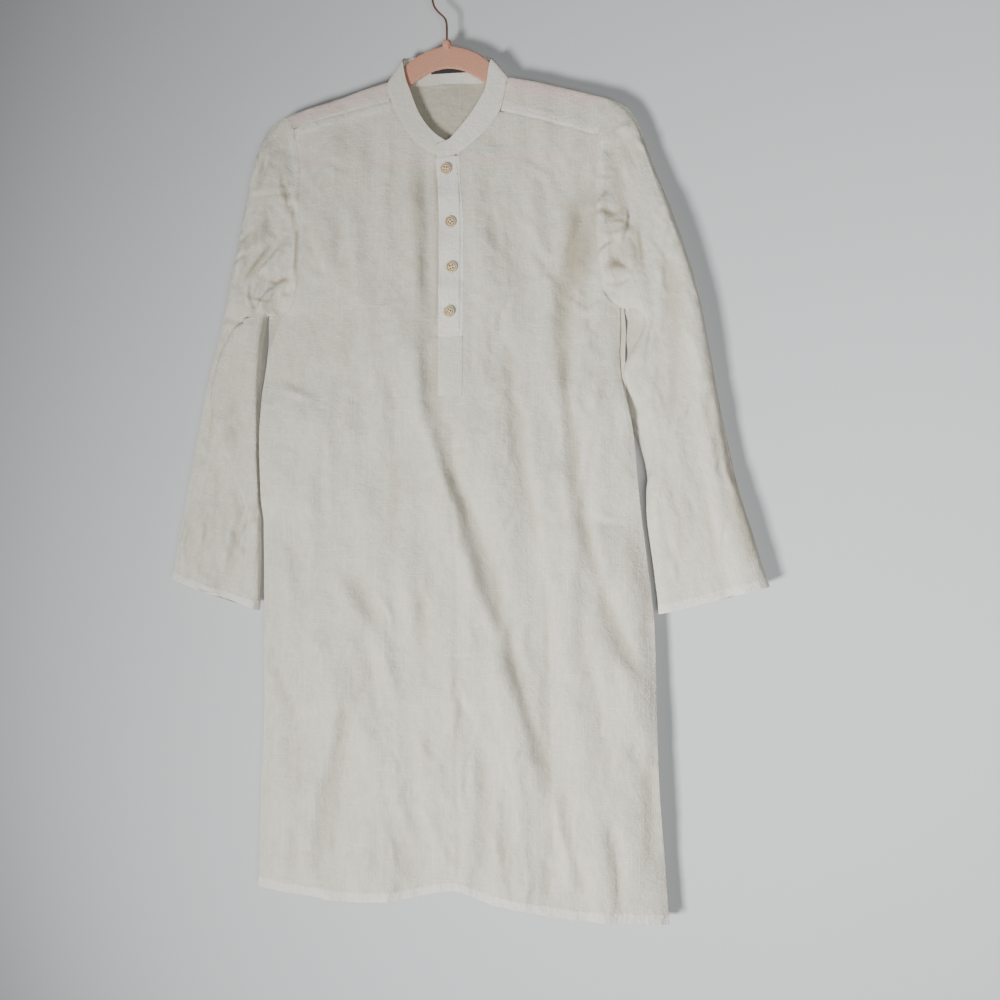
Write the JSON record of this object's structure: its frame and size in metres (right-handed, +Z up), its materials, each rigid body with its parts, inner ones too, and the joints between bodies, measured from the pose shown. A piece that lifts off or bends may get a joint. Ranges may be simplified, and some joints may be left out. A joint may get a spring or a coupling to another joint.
{
  "type": "kurta tunic on a hanger",
  "caption": "Long-sleeved kurta tunic with a band collar, a half-length button placket and side-seam pockets, hanging flat on a slim arched hanger with a wire hook.",
  "frame": {"origin": "inside of the hook's top, where the hook bears on a rail or a peg", "axes": "+Z up along the hanging garment, -Y out of its front, +X to the wearer's left"},
  "size_m": [0.7929, 0.0515, 1.2306],
  "materials": {
    "linen": "slubbed plain weave, ivory",
    "tape": "plain woven tape, black",
    "horn": "pale horn, satin",
    "velvet": "blush velvet flock over moulded plastic",
    "wire": "rose gold plated steel wire, polished"
  },
  "bodies": {
    "root": {"front_body": "linen", "back_body": "linen", "yoke": "linen", "collar_band": "linen", "right_sleeve": "linen", "left_sleeve": "linen", "placket_strip": "linen", "placket_base": "linen", "under_placket": "linen", "right_pocket_bag": "linen", "left_pocket_bag": "linen", "neck_label": "tape", "button_1": "horn", "button_2": "horn", "button_3": "horn", "button_4": "horn", "hanger": "velvet", "hook": "wire"}
  },
  "joints": []
}
